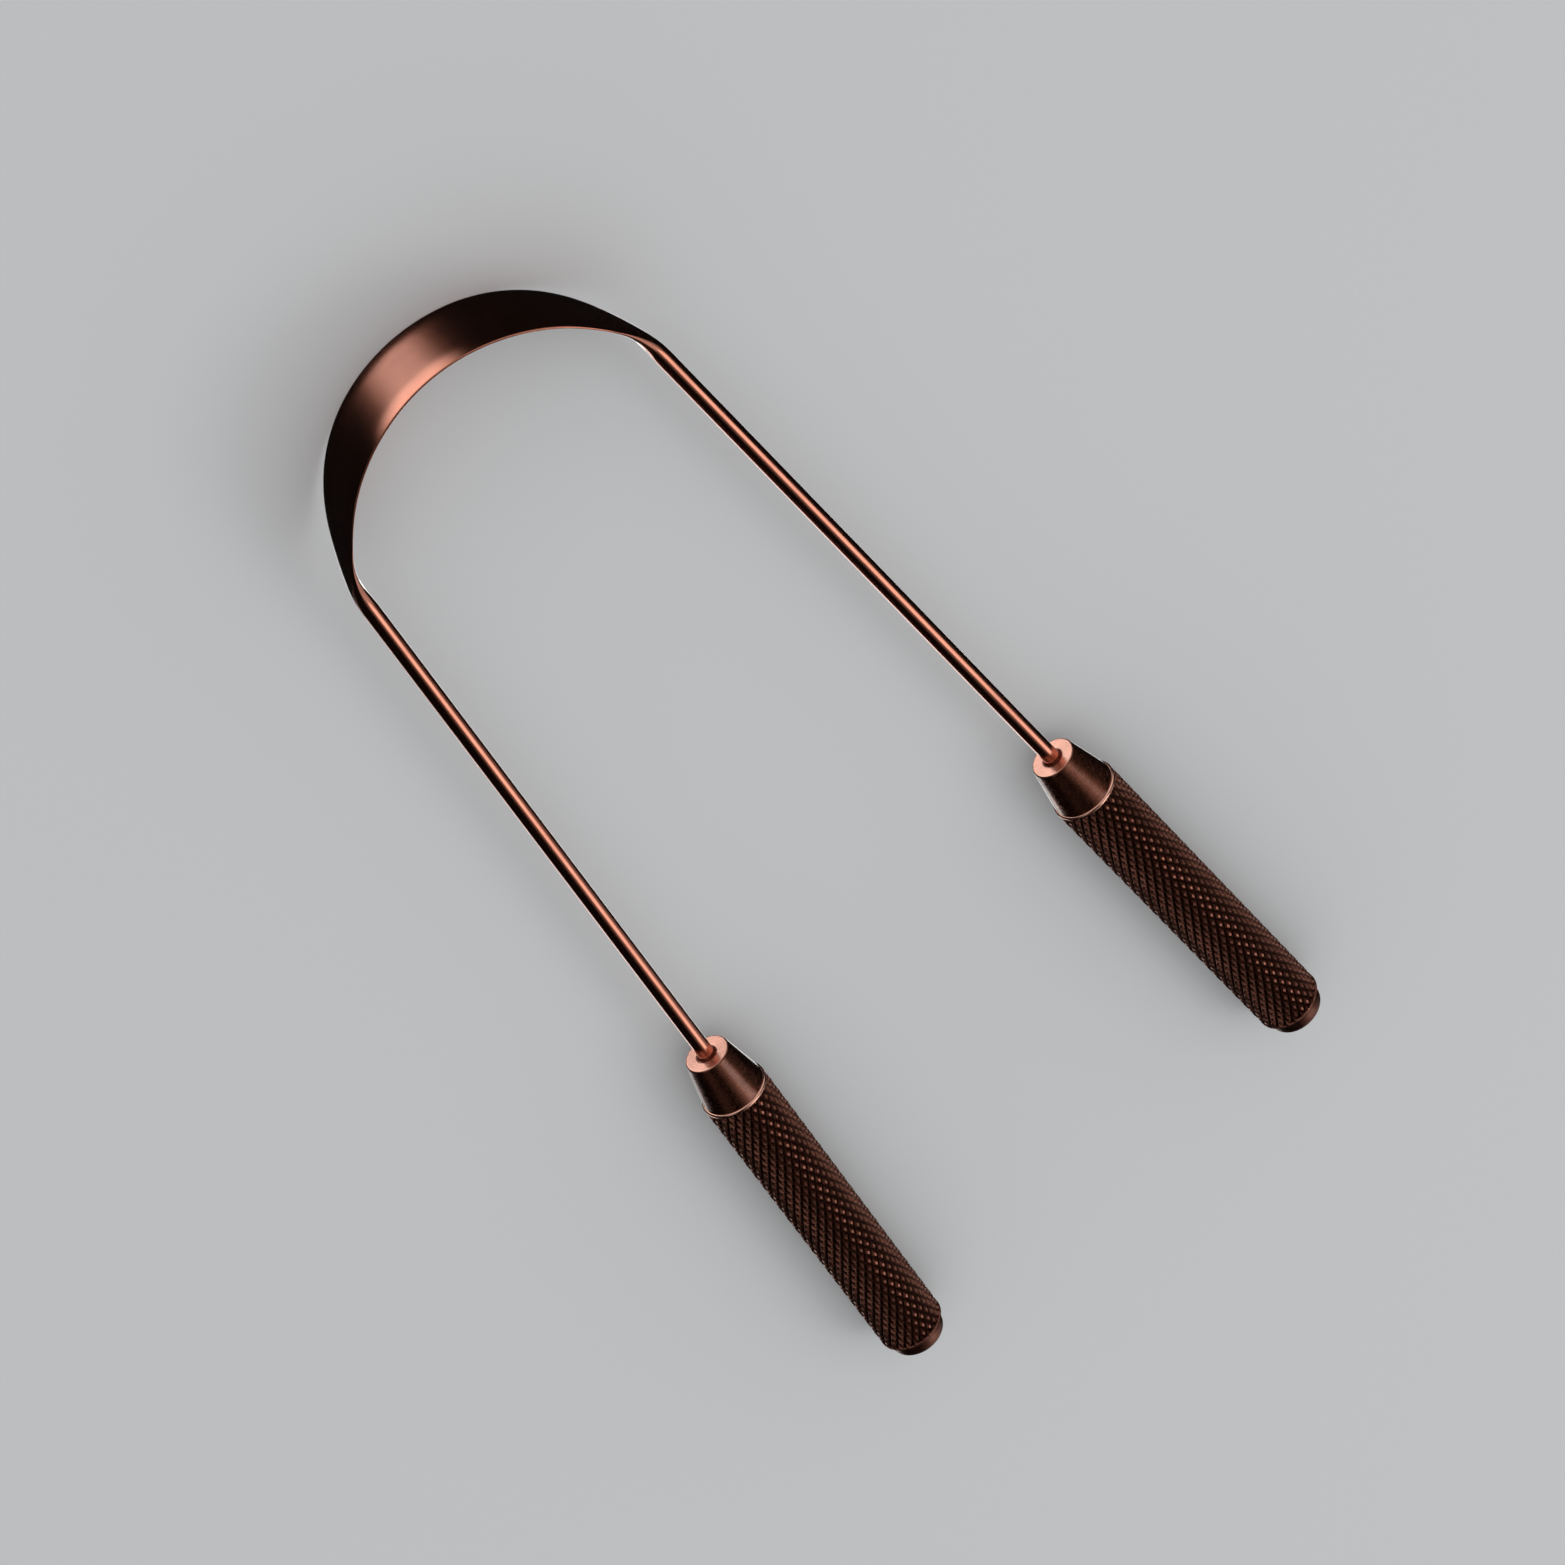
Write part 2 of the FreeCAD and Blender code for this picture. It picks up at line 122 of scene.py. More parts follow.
def smooth_table(table, at):
    """Value of a table at a place between its entries, on a curve without overshoot."""
    if at >= table[-1][0]:
        return table[-1][1]
    slopes = [(b[1] - a[1]) / (b[0] - a[0]) for a, b in zip(table, table[1:])]
    index = max(i for i, (place, value) in enumerate(table[:-1]) if place <= at)
    begin, end = table[index], table[index + 1]
    width = end[0] - begin[0]
    tangents = []
    for i in (index, index + 1):
        inner = 0 < i < len(slopes)
        both = inner and slopes[i - 1] * slopes[i] > 0
        tangents.append(2 * slopes[i - 1] * slopes[i] / (slopes[i - 1] + slopes[i]) if both else 0.0)
    t = (at - begin[0]) / width
    return (
        begin[1] * (2 * t**3 - 3 * t**2 + 1) + end[1] * (3 * t**2 - 2 * t**3)
        + width * (tangents[0] * (t**3 - 2 * t**2 + t) + tangents[1] * (t**3 - t**2))
    )


def ease(low, high, value):
    """Smooth step from 0 at low to 1 at high."""
    t = min(max((value - low) / (high - low), 0.0), 1.0)
    return t * t * (3 - 2 * t)


# Where the section's points stand, as shares of a half face and of a half edge of the strip
UPPER_SHARES = [0.12, 0.26, 0.4, 0.54, 0.66, 0.73, 0.78, 0.82, 0.86, 0.895, 0.925, 0.95, 0.975, 0.99, 1.0]
FACE_SHARES = [-share for share in reversed(UPPER_SHARES)] + [0.0] + UPPER_SHARES
EDGE_SHARES = [-1.0, -0.5, 0.0, 0.5, 1.0]
CORNER_STEPS = 4
CORNER_SPREAD = math.radians(8)

# The strip's outer face rolls inwards towards both edges, and the strip thins a little there
ROLL_HEIGHT = 2.3 * MM
ROLL_SHIFT = 0.09 * MM
ROLL_THINNING = 0.45


def rod_section(run):
    """Section of the bow as distances outward and upward: a strip that turns into a round rod."""
    half_height = smooth_table(BLADE_EDGE, abs(run) / MM) * MM
    rounding = ease(ROUNDING_STARTS, ROUNDING_ENDS, abs(run))
    flat_wide = STRIP_HALF_THICKNESS - STRIP_CORNER
    flat_high = half_height - STRIP_CORNER
    strip, angles = [], []
    quarter = math.pi / 2
    for side in range(4):
        middle = side * quarter
        reach = quarter / 2 - CORNER_SPREAD
        sign = 1 if side < 2 else -1
        for share in FACE_SHARES if side % 2 == 0 else EDGE_SHARES:
            if side % 2 == 0:
                strip.append((sign * STRIP_HALF_THICKNESS, sign * share * flat_high))
            else:
                strip.append((-sign * share * flat_wide, sign * half_height))
            angles.append(middle + share * reach)
        turn = middle + quarter / 2
        corner = (math.copysign(flat_wide, math.cos(turn)), math.copysign(flat_high, math.sin(turn)))
        for step in range(1, CORNER_STEPS):
            share = step / CORNER_STEPS
            bearing = middle + quarter * share
            strip.append((
                corner[0] + STRIP_CORNER * math.cos(bearing),
                corner[1] + STRIP_CORNER * math.sin(bearing),
            ))
            angles.append(turn + (2 * share - 1) * CORNER_SPREAD)
    section = []
    for (wide, high), angle in zip(strip, angles):
        rolled = max((abs(high) - half_height) / ROLL_HEIGHT + 1, 0.0) ** 2
        wide -= rolled * (ROLL_SHIFT + ROLL_THINNING * wide)
        section.append((
            (1 - rounding) * wide + rounding * WIRE_RADIUS * math.cos(angle),
            (1 - rounding) * high + rounding * half_height * math.sin(angle),
        ))
    return section


WELD = 0.00001 * MM


def new_piece(name, bm, node, material):
    """Mesh object for one piece of the object, in place of its CAD node."""
    bmesh.ops.remove_doubles(bm, verts=bm.verts, dist=WELD)
    bmesh.ops.recalc_face_normals(bm, faces=bm.faces)
    mesh = bpy.data.meshes.new(name)
    bm.to_mesh(mesh)
    bm.free()
    mesh.materials.append(material)
    piece = bpy.data.objects.new(name, mesh)
    bpy.context.scene.collection.objects.link(piece)
    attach(piece, "root")
    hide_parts(node)
    return piece


def loft(bm, rings, alongs, rounds):
    """Skin over rings of points, closed round each ring, with a UV map that runs along and round it."""
    uv = bm.loops.layers.uv.verify()
    rows = [[bm.verts.new(point) for point in ring] for ring in rings]
    count = len(rows[0])
    for level in range(len(rows) - 1):
        for spoke in range(count):
            onward = (spoke + 1) % count
            corners = [
                (rows[level][spoke], alongs[level], rounds[spoke]),
                (rows[level][onward], alongs[level], rounds[spoke + 1]),
                (rows[level + 1][onward], alongs[level + 1], rounds[spoke + 1]),
                (rows[level + 1][spoke], alongs[level + 1], rounds[spoke]),
            ]
            face = bm.faces.new([corner[0] for corner in corners])
            face.smooth = True
            for loop, corner in zip(face.loops, corners):
                loop[uv].uv = corner[1:]
    return rows


def shader(name):
    """New material, its node tree and its Principled node."""
    material = bpy.data.materials.new(name)
    material.use_nodes = True
    tree = material.node_tree
    return material, tree, tree.nodes["Principled BSDF"]


def add_node(tree, kind, inputs=(), **settings):
    """Node of a tree, with settings, and with inputs given as values or as the outputs that feed them."""
    node = tree.nodes.new(kind)
    for key, value in settings.items():
        setattr(node, key, value)
    for key, value in dict(inputs).items():
        if isinstance(value, bpy.types.NodeSocket):
            tree.links.new(value, node.inputs[key])
        else:
            node.inputs[key].default_value = value
    return node


def maths(tree, operation, *values, clamp=False):
    """Output of a maths node."""
    node = add_node(tree, "ShaderNodeMath", enumerate(values), operation=operation, use_clamp=clamp)
    return node.outputs[0]


def map_range(tree, value, low, high, at_low=0.0, at_high=1.0, **settings):
    """Output of a node that maps a value between two limits to a value between two others."""
    limits = {"Value": value, "From Min": low, "From Max": high, "To Min": at_low, "To Max": at_high}
    return add_node(tree, "ShaderNodeMapRange", limits, **settings).outputs["Result"]


def mix_tones(tree, share, first, second):
    """Output of a mix of two colours."""
    return add_node(tree, "ShaderNodeMix", {0: share, 6: first, 7: second}, data_type="RGBA").outputs[2]


def mix_values(tree, share, first, second):
    """Output of a mix of two values."""
    return add_node(tree, "ShaderNodeMix", {0: share, 2: first, 3: second}, data_type="FLOAT").outputs[0]


def effect_group(name, inputs, outputs):
    """Empty shader node group with named sockets: its tree, what it is given and what it makes."""
    group = bpy.data.node_groups.new(name, "ShaderNodeTree")
    for label, kind, value in inputs:
        group.interface.new_socket(label, in_out="INPUT", socket_type=kind).default_value = value
    for label, kind in outputs:
        group.interface.new_socket(label, in_out="OUTPUT", socket_type=kind)
    return group, group.nodes.new("NodeGroupInput").outputs, group.nodes.new("NodeGroupOutput").inputs


def place_group(tree, group, **values):
    """Outputs of a shader node group placed in a material with its own values."""
    inputs = {label.replace("_", " "): value for label, value in values.items()}
    return add_node(tree, "ShaderNodeGroup", inputs, node_tree=group).outputs


def dress_metal(tree, metal, tone, roughness, relief, strength, distance):
    """Colour, roughness and fine relief of bare metal, given to a Principled node."""
    bump = add_node(tree, "ShaderNodeBump", {"Height": relief, "Strength": strength, "Distance": distance})
    metal.inputs["Metallic"].default_value = 1.0
    tree.links.new(tone, metal.inputs["Base Color"])
    tree.links.new(roughness, metal.inputs["Roughness"])
    tree.links.new(bump.outputs[0], metal.inputs["Normal"])


LACQUER_ROUGHNESS = 0.06


def lacquer(metal, weight):
    """Thin clear lacquer over a metal."""
    metal.inputs["Coat Weight"].default_value = weight
    metal.inputs["Coat Roughness"].default_value = LACQUER_ROUGHNESS


FLOAT, COLOUR, VECTOR = "NodeSocketFloat", "NodeSocketColor", "NodeSocketVector"

# Uneven tone of handled copper: broad clouds of tarnish and small dark specks
CLOUD_SHARE = 0.45
copper_tone, given, made = effect_group(
    "copper_tone",
    [
        ("Bright", COLOUR, (0.8, 0.4, 0.3, 1)),
        ("Tarnished", COLOUR, (0.4, 0.2, 0.1, 1)),
        ("Cloud size", FLOAT, 300.0),
        ("Speck size", FLOAT, 3000.0),
        ("Speck share", FLOAT, 0.2),
        ("Polish", FLOAT, 0.25),
        ("Polish change", FLOAT, 0.08),
    ],
    [("Tone", COLOUR), ("Roughness", FLOAT), ("Grain", FLOAT)],
)
place = add_node(copper_tone, "ShaderNodeTexCoord").outputs["Object"]
clouds = add_node(
    copper_tone, "ShaderNodeTexNoise", {"Vector": place, "Scale": given["Cloud size"], "Detail": 5.0}
).outputs["Fac"]
specks = add_node(
    copper_tone, "ShaderNodeTexNoise", {"Vector": place, "Scale": given["Speck size"], "Detail": 3.0}
).outputs["Fac"]
cloud_mask = map_range(copper_tone, clouds, low=0.38, high=0.68)
speck_mask = map_range(copper_tone, specks, low=0.5, high=0.72)
cloud_part = maths(copper_tone, "MULTIPLY", cloud_mask, CLOUD_SHARE)
speck_part = maths(copper_tone, "MULTIPLY", speck_mask, given["Speck share"])
tarnish = maths(copper_tone, "ADD", speck_part, cloud_part, clamp=True)
tone = mix_tones(copper_tone, tarnish, given["Bright"], given["Tarnished"])
dullness = maths(copper_tone, "MULTIPLY_ADD", tarnish, given["Polish change"], given["Polish"])
copper_tone.links.new(tone, made["Tone"])
copper_tone.links.new(dullness, made["Roughness"])
copper_tone.links.new(specks, made["Grain"])

# Fine lines along the bow, left by drawing and polishing, over the copper's own grain
LINE_STRETCH = (60.0, 2200.0, 1.0)
LINE_SHARE = 0.3
satin_copper, tree, metal = shader("satin_copper")
copper = place_group(
    tree, copper_tone, Bright=(0.66, 0.24, 0.15, 1), Tarnished=(0.44, 0.148, 0.09, 1), Cloud_size=260.0,
    Speck_size=17000.0, Speck_share=0.5, Polish=0.16, Polish_change=0.1,
)
line = add_node(tree, "ShaderNodeUVMap", uv_map="along_round").outputs[0]
stretched = add_node(tree, "ShaderNodeMapping", {"Vector": line, "Scale": LINE_STRETCH}).outputs[0]
draw_lines = add_node(
    tree, "ShaderNodeTexNoise", {"Vector": stretched, "Scale": 1.0, "Detail": 3.0}, noise_dimensions="2D"
).outputs["Fac"]
relief = maths(tree, "MULTIPLY_ADD", draw_lines, LINE_SHARE, copper["Grain"])
dress_metal(tree, metal, copper["Tone"], copper["Roughness"], relief, strength=0.2, distance=0.025 * MM)
lacquer(metal, weight=0.8)

NECK_STARTS = 18.0 * MM
NECK_ENDS = 31.0 * MM
BLADE_RINGS = 60
NECK_RINGS = 52
ARM_RINGS = 24
half_runs = [NECK_STARTS * step / BLADE_RINGS for step in range(BLADE_RINGS)]
half_runs += [NECK_STARTS + (NECK_ENDS - NECK_STARTS) * step / NECK_RINGS for step in range(NECK_RINGS)]
half_runs += [NECK_ENDS + (rod_end - NECK_ENDS) * step / ARM_RINGS for step in range(ARM_RINGS + 1)]
runs = [-run for run in reversed(half_runs[1:])] + half_runs
rings = []
for run in runs:
    middle, outward = bow_line(run)
    rings.append([middle + outward * wide + upward * high for wide, high in rod_section(run)])
reach = [0.0]
section = rod_section(0.0)
for spoke in range(len(section)):
    here, then = section[spoke], section[(spoke + 1) % len(section)]
    reach.append(reach[-1] + math.dist(here, then))
bm = bmesh.new()
rows = loft(bm, rings, runs, reach)
for row in (rows[0], rows[-1]):
    bm.faces.new(row)
bow = new_piece("forged_bow", bm, "scraper_bow", satin_copper)
bow.data.uv_layers[0].name = "along_round"

# Collars
# A short cone turned from copper bar on each side, brushed round while it spun in the lathe. Its flat
# bright nose takes the rod in a blind hole, and a spigot behind its shoulder is pressed into the grip.

NOSE_RADIUS = 2.65 * MM
NOSE_ROUND = 0.16 * MM
SHOULDER_RADIUS = 3.8 * MM
SHOULDER_ROUND = 0.1 * MM
ROD_HOLE_RADIUS = 0.97 * MM
SPIGOT_RADIUS = 2.68 * MM
SPIGOT_LENGTH = 9.0 * MM
BEAD_SEAT_RADIUS = 1.15 * MM
BEAD_SEAT_DEPTH = 0.3 * MM
TURNED_STEPS = 128

handle_frame = {}
for side in ends:
    sideways = handle_axis[side].cross(upward)
    turn = Matrix((upward, sideways, handle_axis[side])).transposed()
    handle_frame[side] = Matrix.Translation(collar_nose[side]) @ turn.to_4x4()


def round_over(corner, before, after, radius, steps=5):
    """Points of a small round that takes a profile's corner off, from one neighbour to the other."""
    corner, before, after = Vector(corner), Vector(before), Vector(after)
    entry = corner + (before - corner).normalized() * radius
    leave = corner + (after - corner).normalized() * radius
    shares = [step / steps for step in range(steps + 1)]
    return [tuple(entry * (1 - t) ** 2 + corner * 2 * t * (1 - t) + leave * t * t) for t in shares]


def turned(bm, profile, place, closed, steps=TURNED_STEPS):
    """Turned skin over a profile of radii and heights, with a UV map along it and round the axis."""
    lengths = [0.0]
    for here, then in zip(profile, profile[1:]):
        lengths.append(lengths[-1] + math.dist(here, then))
    bearings = [2 * math.pi * step / steps for step in range(steps)]
    rings = [
        [place @ Vector((radius * math.cos(b), radius * math.sin(b), height)) for b in bearings]
        for radius, height in profile
    ]
    if closed:
        rings = rings + rings[:1]
        lengths = lengths + [lengths[-1] + math.dist(profile[-1], profile[0])]
    return loft(bm, rings, lengths, [step / steps for step in range(steps + 1)])


# Fine rings that a lathe tool and an abrasive leave round a turned surface
turning_lines, given, made = effect_group(
    "turning_lines",
    [("Line", VECTOR, (0, 0, 0)), ("Closeness", FLOAT, 9000.0), ("Streaks", FLOAT, 6.0)],
    [("Ridges", FLOAT)],
)
line_parts = add_node(turning_lines, "ShaderNodeSeparateXYZ", {0: given["Line"]}).outputs
angle = maths(turning_lines, "MULTIPLY", line_parts[1], 2 * math.pi)
spot_parts = {0: maths(turning_lines, "MULTIPLY", line_parts[0], given["Closeness"])}
for part, wave in ((1, "COSINE"), (2, "SINE")):
    wander = maths(turning_lines, wave, angle)
    spot_parts[part] = maths(turning_lines, "MULTIPLY", wander, given["Streaks"])
spot = add_node(turning_lines, "ShaderNodeCombineXYZ", spot_parts).outputs[0]
ridges = add_node(
    turning_lines, "ShaderNodeTexNoise", {"Vector": spot, "Scale": 1.0, "Detail": 4.0, "Roughness": 0.65}
).outputs["Fac"]
turning_lines.links.new(ridges, made["Ridges"])

FACED_TONE = (0.95, 0.46, 0.34, 1)
FACED_ROUGHNESS = 0.27
FACED_EDGE_SHARE = 0.9


def turned_copper(name, bright, tarnished, polish, closeness, depth, stretch, faced, coat):
    """Copper with turning lines round its axis, brighter over the faced length of its profile."""
    material, tree, metal = shader(name)
    copper = place_group(
        tree, copper_tone, Bright=bright, Tarnished=tarnished, Cloud_size=420.0, Speck_size=6000.0,
        Speck_share=0.25, Polish=polish, Polish_change=0.1,
    )
    line = add_node(tree, "ShaderNodeUVMap", uv_map="along_round").outputs[0]
    ridges = place_group(tree, turning_lines, Line=line, Closeness=closeness, Streaks=5.0)["Ridges"]
    worn = map_range(tree, ridges, low=0.45, high=0.65, at_low=-0.06, at_high=0.22)
    brushed = maths(tree, "ADD", copper["Roughness"], worn, clamp=True)
    along = add_node(tree, "ShaderNodeSeparateXYZ", {0: line}).outputs[0]
    face = map_range(tree, along, low=faced * FACED_EDGE_SHARE, high=faced, at_low=1.0, at_high=0.0)
    tone = mix_tones(tree, face, copper["Tone"], FACED_TONE)
    roughness = mix_values(tree, face, brushed, FACED_ROUGHNESS)
    dress_metal(tree, metal, tone, roughness, ridges, strength=depth, distance=0.05 * MM)
    metal.inputs["Anisotropic"].default_value = stretch
    tangent = add_node(tree, "ShaderNodeTangent", direction_type="UV_MAP", uv_map="along_round")
    tree.links.new(tangent.outputs[0], metal.inputs["Tangent"])
    lacquer(metal, coat)
    return material


# The cone's tones are far darker than the bow's copper: tarnish, with painted shade added for the dark room
# that the cone reflects
brushed_copper = turned_copper(
    "brushed_copper", bright=(0.25, 0.085, 0.051, 1), tarnished=(0.105, 0.033, 0.02, 1), polish=0.27,
    closeness=12000.0, depth=0.5, stretch=0.7, faced=NOSE_RADIUS - BEAD_SEAT_RADIUS, coat=0.8,
)

NOSE_SHARES = (0.2, 0.4, 0.6, 0.8)
CONE_SHARES = (0.05, 0.35, 0.65, 0.95)
nose_width = NOSE_RADIUS - BEAD_SEAT_RADIUS
cone_spread = SHOULDER_RADIUS - NOSE_RADIUS
collar_profile = [(BEAD_SEAT_RADIUS, 0.0)]
collar_profile += [(BEAD_SEAT_RADIUS + nose_width * share, 0.0) for share in NOSE_SHARES]
collar_profile += round_over(
    (NOSE_RADIUS, 0.0), (BEAD_SEAT_RADIUS, 0.0), (SHOULDER_RADIUS, COLLAR_LENGTH), NOSE_ROUND
)
collar_profile += [(NOSE_RADIUS + cone_spread * share, COLLAR_LENGTH * share) for share in CONE_SHARES]
collar_profile += round_over(
    (SHOULDER_RADIUS, COLLAR_LENGTH), (NOSE_RADIUS, 0.0), (SPIGOT_RADIUS, COLLAR_LENGTH), SHOULDER_ROUND
)
collar_profile += [
    (SPIGOT_RADIUS, COLLAR_LENGTH),
    (SPIGOT_RADIUS, COLLAR_LENGTH + SPIGOT_LENGTH),
    (ROD_HOLE_RADIUS, COLLAR_LENGTH + SPIGOT_LENGTH),
    (ROD_HOLE_RADIUS, BEAD_SEAT_DEPTH),
]
for side in ends:
    bm = bmesh.new()
    turned(bm, collar_profile, handle_frame[side], closed=True)
    collar = new_piece(f"{side}_turned_collar", bm, f"{side}_collar", brushed_copper)
    collar.data.uv_layers[0].name = "along_round"

# Braze rings
# The small dark fillet of braze where each rod enters its collar. It was run in hot and left as it set, so
# its outline and its skin are a little uneven.

BEAD_HEIGHT = 0.25 * MM
BEAD_CREST = 0.08 * MM
BEAD_BULGE = 0.03 * MM
BEAD_FOOT = 0.02 * MM
BEAD_SUNK = 0.1 * MM
BEAD_UNEVENNESS = 0.22 * MM
BEAD_STEPS = 8
BEAD_TURN_STEPS = 72
LUMPS_PER_METRE = 1500
LUMPS_FROM = Vector((3.1, 0.0, 0.0))

braze, tree, metal = shader("braze")
copper = place_group(
    tree, copper_tone, Bright=(0.3, 0.072, 0.045, 1), Tarnished=(0.09, 0.021, 0.014, 1), Cloud_size=1500.0,
    Speck_size=7000.0, Speck_share=0.6, Polish=0.42, Polish_change=0.2,
)
dress_metal(
    tree, metal, copper["Tone"], copper["Roughness"], copper["Grain"], strength=0.5, distance=0.08 * MM
)

crest_radius = ROD_HOLE_RADIUS + BEAD_CREST
bead_profile = [(ROD_HOLE_RADIUS, -BEAD_HEIGHT)]
for step in range(BEAD_STEPS + 1):
    share = step / BEAD_STEPS
    bulge = math.sin(math.pi * share) * BEAD_BULGE
    bead_profile.append((
        crest_radius + (BEAD_SEAT_RADIUS - crest_radius) * share + bulge,
        -BEAD_HEIGHT * (1 - share) - bulge,
    ))
bead_profile.append((ROD_HOLE_RADIUS, BEAD_SEAT_DEPTH))
for side in ends:
    bm = bmesh.new()
    turned(bm, bead_profile, handle_frame[side], closed=True, steps=BEAD_TURN_STEPS)
    for vert in bm.verts:
        local = handle_frame[side].inverted() @ vert.co
        if local.z < 0 and local.xy.length > ROD_HOLE_RADIUS + BEAD_FOOT:
            swell = noise.noise(local * LUMPS_PER_METRE + LUMPS_FROM) * BEAD_UNEVENNESS - BEAD_SUNK
            slant = Vector((local.x, local.y, -local.xy.length)).normalized()
            vert.co += handle_frame[side].to_3x3() @ slant * swell
    new_piece(f"{side}_braze_bead", bm, f"{side}_braze_ring", braze)

# Grips
# A copper tube on each side, knurled with crossing grooves that leave rows of diamonds with flat tops. A
# narrow polished rim is turned on its front, and its rear edge is bevelled.

GRIP_RADIUS = 4.0 * MM
GRIP_BORE_RADIUS = 2.7 * MM
KNURL_DEPTH = 0.34 * MM
KNURL_PITCH = 1.96 * MM
KNURL_STARTS = 24
KNURL_WELD = 0.002 * MM
CUT_TOLERANCE = 0.0001 * MM
RIM_LENGTH = 0.25 * MM
TAIL_LENGTH = 0.5 * MM
RIM_STEPS = 96

# Levels of one diamond from its groove to its flat top, as shares of its spread and of the groove's depth
DIAMOND_SHARES = [(1.0, 1.0), (0.92, 0.94), (0.44, 0.14), (0.3, 0.0)]

# Outlines of the rim and of the tail: depth below the grip's surface and distance from the grip's front or
# rear, in millimetres
RIM_OUTLINE = [(0.2, 0.0), (0.1, 0.03), (0.03, 0.09), (0.0, 0.16), (0.0, 0.34), (0.04, 0.39)]
TAIL_OUTLINE = [(0.05, 0.58), (0.0, 0.5), (0.05, 0.42), (0.36, 0.05), (0.43, 0.0)]

knurl_length = GRIP_LENGTH - RIM_LENGTH - TAIL_LENGTH
knurl_rows = 2 * round(knurl_length / KNURL_PITCH)
row_step = knurl_length / knurl_rows

diamond_mesh = bpy.data.meshes.new("knurl_diamond")
bm = bmesh.new()
levels = []
for spread, sunk in DIAMOND_SHARES:
    radius = GRIP_RADIUS - sunk * KNURL_DEPTH
    half_turn = math.pi / KNURL_STARTS * spread
    corners = [(half_turn, 0.0), (0.0, row_step * spread), (-half_turn, 0.0), (0.0, -row_step * spread)]
    levels.append([bm.verts.new((radius * math.cos(b), radius * math.sin(b), z)) for b, z in corners])
for low, high in zip(levels, levels[1:]):
    for corner in range(4):
        onward = (corner + 1) % 4
        bm.faces.new([low[corner], low[onward], high[onward], high[corner]])
bm.faces.new(levels[-1])
bm.to_mesh(diamond_mesh)
bm.free()
diamond = bpy.data.objects.new("knurl_diamond", diamond_mesh)
bpy.context.scene.collection.objects.link(diamond)

# The knurl's rule: rows of diamonds round the axis, every other row turned by half a diamond. Half is added
# to the index before it is divided, so that rounding never puts a row's first diamond in the row before
knurl_rule = bpy.data.node_groups.new("knurl_rule", "GeometryNodeTree")
for label, kind in (
    ("Geometry", "NodeSocketGeometry"), ("Diamond", "NodeSocketObject"), ("Starts", "NodeSocketInt"),
    ("Rows", "NodeSocketInt"), ("Row step", FLOAT), ("First row", FLOAT), ("Finish", "NodeSocketMaterial"),
):
    knurl_rule.interface.new_socket(label, in_out="INPUT", socket_type=kind)
knurl_rule.interface.new_socket("Geometry", in_out="OUTPUT", socket_type="NodeSocketGeometry")
given = knurl_rule.nodes.new("NodeGroupInput").outputs
made = knurl_rule.nodes.new("NodeGroupOutput").inputs


def rule_maths(operation, *values):
    """Output of a maths node in the knurl's rule."""
    return maths(knurl_rule, operation, *values)


index = add_node(knurl_rule, "GeometryNodeInputIndex").outputs[0]
row = rule_maths("FLOOR", rule_maths("DIVIDE", rule_maths("ADD", index, 0.5), given["Starts"]))
spoke = rule_maths("SUBTRACT", index, rule_maths("MULTIPLY", row, given["Starts"]))
shifted = rule_maths("ADD", spoke, rule_maths("MULTIPLY", rule_maths("MODULO", row, 2.0), 0.5))
bearing = rule_maths("DIVIDE", rule_maths("MULTIPLY", shifted, 2 * math.pi), given["Starts"])
height = rule_maths("ADD", given["First row"], rule_maths("MULTIPLY", row, given["Row step"]))
count = rule_maths("MULTIPLY", given["Starts"], given["Rows"])
stands = add_node(knurl_rule, "ShaderNodeCombineXYZ", {2: height}).outputs[0]
turns = add_node(knurl_rule, "ShaderNodeCombineXYZ", {2: bearing}).outputs[0]
faces_out = add_node(knurl_rule, "FunctionNodeEulerToRotation", {0: turns}).outputs[0]
points = add_node(knurl_rule, "GeometryNodePoints", {"Count": count, "Position": stands}).outputs[0]
shape = add_node(knurl_rule, "GeometryNodeObjectInfo", {"Object": given["Diamond"]}).outputs["Geometry"]
copies = add_node(
    knurl_rule, "GeometryNodeInstanceOnPoints", {"Points": points, "Instance": shape, "Rotation": faces_out}
).outputs[0]
real = add_node(knurl_rule, "GeometryNodeRealizeInstances", {0: copies}).outputs[0]
finished = add_node(knurl_rule, "GeometryNodeSetMaterial", {"Geometry": real, "Material": given["Finish"]})
knurl_rule.links.new(finished.outputs[0], made[0])

# The grooves and most of each diamond's flanks go nearly black: grime in the grooves, and painted shade down
# the flanks
GROOVE_GRIME_AND_SHADE_TONE = (0.04, 0.015, 0.01, 1)
GRIME_DULLNESS = 0.2
RIM_TONE = (0.92, 0.5, 0.38, 1)
RIM_ROUGHNESS = 0.22
knurled_copper, tree, metal = shader("knurled_copper")
copper = place_group(
    tree, copper_tone, Bright=(0.31, 0.122, 0.083, 1), Tarnished=(0.14, 0.052, 0.035, 1), Cloud_size=300.0,
    Speck_size=7000.0, Speck_share=0.4, Polish=0.32, Polish_change=0.12,
)
raised = add_node(tree, "ShaderNodeAttribute", attribute_name="knurl_height").outputs["Fac"]
rim = add_node(tree, "ShaderNodeAttribute", attribute_name="turned_rim").outputs["Fac"]
